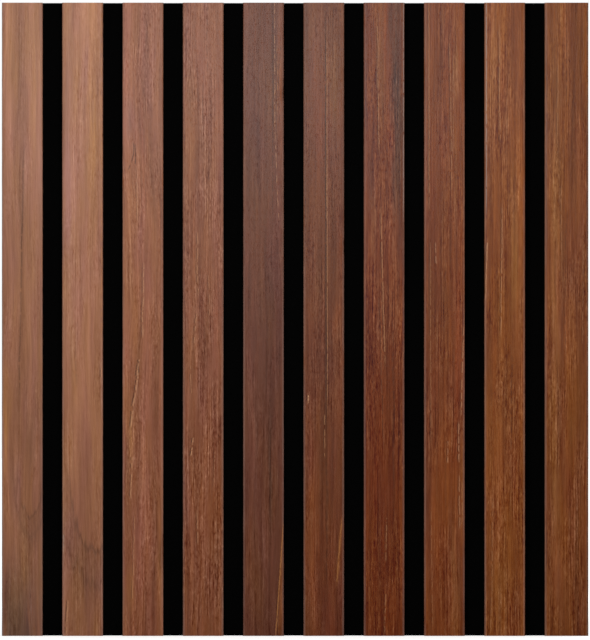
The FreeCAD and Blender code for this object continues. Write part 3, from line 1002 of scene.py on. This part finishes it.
# Staples
# Galvanised flat wire, bent into staples and shot through the felt into the cores from behind.
# Only the crowns show, sunk in the dimples that they pull into the felt.
ZINC_GREY = (0.4, 0.41, 0.42, 1)
ZINC_WHITE = (0.75, 0.75, 0.73, 1)
ZINC_SPANGLES = (0.8, 0.8, 0.8)
DRAWING_MARKS = (0.2, 6.0, 6.0)
WIRE_ROUGHNESS = 0.4
SPANGLE_ROUGHNESS = 0.05
DRAWING_ROUGHNESS = 0.04
WIRE_RELIEF = 0.02


def wire_material():
    material, tree, shader, place = new_material("galvanised_wire")
    spot = split(tree, place)
    spangle = noise(tree, graded(tree, spot, ZINC_SPANGLES))
    drawn = noise(tree, graded(tree, spot, DRAWING_MARKS))
    feed(shader.inputs["Base Color"], mix_colour(tree, spangle.rise(-2.0, 2.0), ZINC_GREY, ZINC_WHITE))
    shader.inputs["Metallic"].default_value = 1.0
    roughness = spangle * SPANGLE_ROUGHNESS + drawn * DRAWING_ROUGHNESS + WIRE_ROUGHNESS
    feed(shader.inputs["Roughness"], roughness)
    add_bump(tree, shader, drawn, WIRE_RELIEF)
    return material


dress("back_staples", wire_material())

# Floor, light and camera
# The panel stands on a pale floor in a white surround. A small softbox in front, up and to the left, lights
# the slats, and a large one behind lights the felt. The camera looks level from far off.
FLOOR_SIZE = 24.0
FLOOR_GREY = (0.72, 0.72, 0.71, 1)
FLOOR_WHITE = (0.78, 0.78, 0.77, 1)
FLOOR_CLOUDS = (0.01, 0.01, 0.01)
FLOOR_ROUGHNESS = 0.9
FLOOR_GLOSS = 0.1
GLOW_NEAR = 0.6
GLOW_GAIN = 0.2
GLOW_START = 400.0
GLOW_END = 2500.0
WHITE = (1, 1, 1, 1)


def floor_material():
    """A pale floor that glows for the camera alone, more so far off, where it meets the white surround."""
    material, tree, shader, place = new_material("pale_floor")
    spot = split(tree, place)
    x, y, z = spot
    clouds = noise(tree, graded(tree, spot, FLOOR_CLOUDS), detail=3.0)
    feed(shader.inputs["Base Color"], mix_colour(tree, clouds.rise(-2.0, 2.0), FLOOR_GREY, FLOOR_WHITE))
    shader.inputs["Roughness"].default_value = FLOOR_ROUGHNESS
    shader.inputs["Specular IOR Level"].default_value = FLOOR_GLOSS
    seen = tree.nodes.new("ShaderNodeLightPath").outputs["Is Camera Ray"]
    far = (x * x + y * y).through("SQRT").rise(GLOW_START, GLOW_END)
    feed(shader.inputs["Emission Strength"], Signal(seen) * (far * GLOW_GAIN + GLOW_NEAR))
    shader.inputs["Emission Color"].default_value = WHITE
    return material


bpy.ops.mesh.primitive_plane_add(size=FLOOR_SIZE, location=(0, 0, cad_low.z))
floor = bpy.context.object
floor.name = "floor"
floor.data.materials.append(floor_material())

FILL = 0.4
FRONT_OF_ROOM = 0.08
FRONT_END = -0.35
BACK_START = 0.1
world = bpy.data.worlds.new("white_surround")
bpy.context.scene.world = world
world.use_nodes = True
sky = world.node_tree
background = sky.nodes["Background"]
rays = sky.nodes.new("ShaderNodeLightPath").outputs
toward = sky.nodes.new("ShaderNodeTexCoord").outputs["Generated"]
behind = split(sky, toward)[1].rise(FRONT_END, BACK_START)
camera_ray = Signal(rays["Is Camera Ray"])
mirrored = Signal(rays["Is Glossy Ray"]).through("MAXIMUM", rays["Is Transmission Ray"])
reflection = behind * (1 - FRONT_OF_ROOM) + FRONT_OF_ROOM
shown = camera_ray + mirrored * reflection
neither = (mirrored + camera_ray).through("COMPARE", 0.0, 0.5)
feed(background.inputs["Strength"], shown + neither * FILL)
background.inputs["Color"].default_value = WHITE


def softbox(name, place, width, height, power):
    """An area light that faces the middle of the panel and is itself out of sight."""
    data = bpy.data.lights.new(name, "AREA")
    data.shape = "RECTANGLE"
    data.size = width
    data.size_y = height
    data.energy = power
    lamp = bpy.data.objects.new(name, data)
    lamp.location = place
    lamp.rotation_euler = (-Vector(place)).to_track_quat("-Z", "Y").to_euler()
    lamp.visible_camera = False
    bpy.context.scene.collection.objects.link(lamp)


softbox("key_softbox", place=(-0.055, -0.85, 0.2), width=0.3, height=0.12, power=4.2)
softbox("back_softbox", place=(0.7, 1.3, 0.7), width=0.8, height=0.8, power=9.0)

IMAGE_WIDTH_PIXELS = 590
IMAGE_HEIGHT_PIXELS = 640
PANEL_TOP_ROW = 2.64
PANEL_BOTTOM_ROW = 635.94
PANEL_LEFT_COLUMN = 1.93
PANEL_RIGHT_COLUMN = 588.35
SENSOR = 36.0
LENS = 800.0
FARTHEST_SEEN = 40.0
LEVEL = math.radians(90)
pixel = (cad_high.z - cad_low.z) / (PANEL_BOTTOM_ROW - PANEL_TOP_ROW)
aim_x = (IMAGE_WIDTH_PIXELS / 2 - (PANEL_LEFT_COLUMN + PANEL_RIGHT_COLUMN) / 2) * pixel
aim_z = ((PANEL_TOP_ROW + PANEL_BOTTOM_ROW) / 2 - IMAGE_HEIGHT_PIXELS / 2) * pixel
distance = IMAGE_HEIGHT_PIXELS * pixel * LENS / SENSOR
camera_data = bpy.data.cameras.new("camera")
camera_data.sensor_width = SENSOR
camera_data.lens = LENS
camera_data.clip_end = FARTHEST_SEEN
camera = bpy.data.objects.new("camera", camera_data)
camera.location = (aim_x, cad_low.y - distance, aim_z)
camera.rotation_euler = (LEVEL, 0, 0)
bpy.context.scene.collection.objects.link(camera)
bpy.context.scene.camera = camera
bpy.context.scene.view_settings.view_transform = "Standard"
